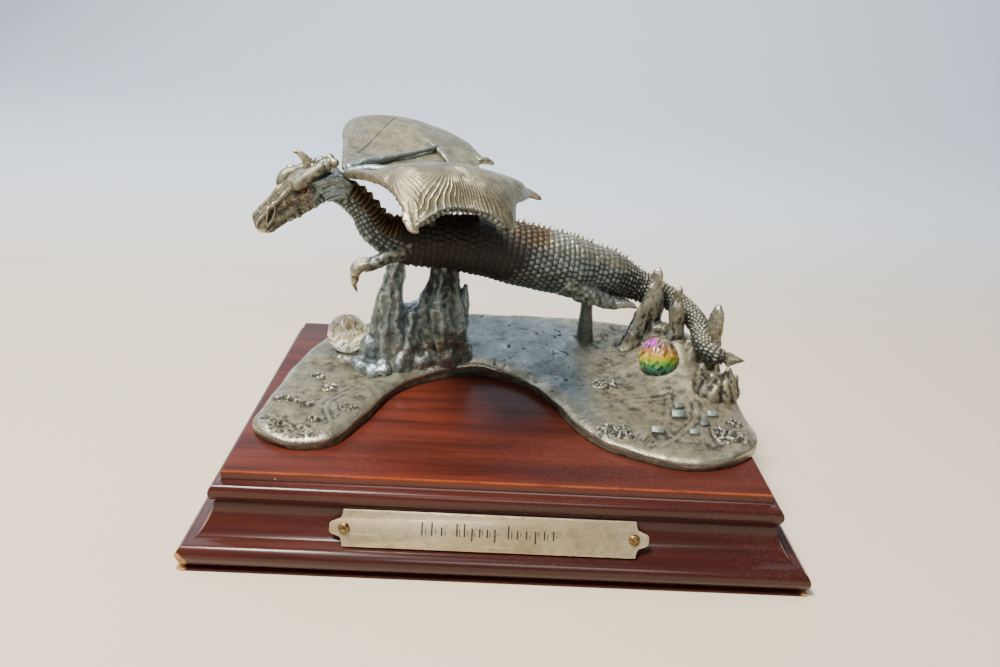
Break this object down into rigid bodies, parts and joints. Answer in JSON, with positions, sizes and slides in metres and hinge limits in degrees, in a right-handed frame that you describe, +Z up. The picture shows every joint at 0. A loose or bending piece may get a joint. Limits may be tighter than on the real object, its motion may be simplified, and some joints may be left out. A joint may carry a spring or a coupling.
{
  "type": "dragon sculpture",
  "caption": "Cast metal dragon with spread wings over a rocky landscape with a tiny village and round crystals, standing on a moulded wooden plinth with a brass nameplate.",
  "frame": {"origin": "centre of the plinth's underside, on the table", "axes": "+X to the right along the plinth's long side, +Y to the back, +Z up; the nameplate is on the -Y side"},
  "size_m": [0.2, 0.1502, 0.1235],
  "materials": {
    "mahogany": "dark red-brown gloss lacquer, worn to bare wood at two corners",
    "plate_brass": "pale brass, speckled with age",
    "pin_brass": "dark antique brass",
    "pewter": "cast pewter, antiqued with a dark patina and warm tints",
    "clear_glass": "cut and polished, clear",
    "rainbow_glass": "cut and polished, coloured by a reflective backing",
    "eye_glass": "polished red stone"
  },
  "bodies": {
    "root": {"wooden_plinth": "mahogany", "nameplate": "plate_brass", "nameplate_pin_left": "pin_brass", "nameplate_pin_right": "pin_brass", "dragon_casting": "pewter", "clear_crystal": "clear_glass", "rainbow_crystal": "rainbow_glass", "eye_stone_left": "eye_glass", "eye_stone_right": "eye_glass"}
  },
  "joints": []
}
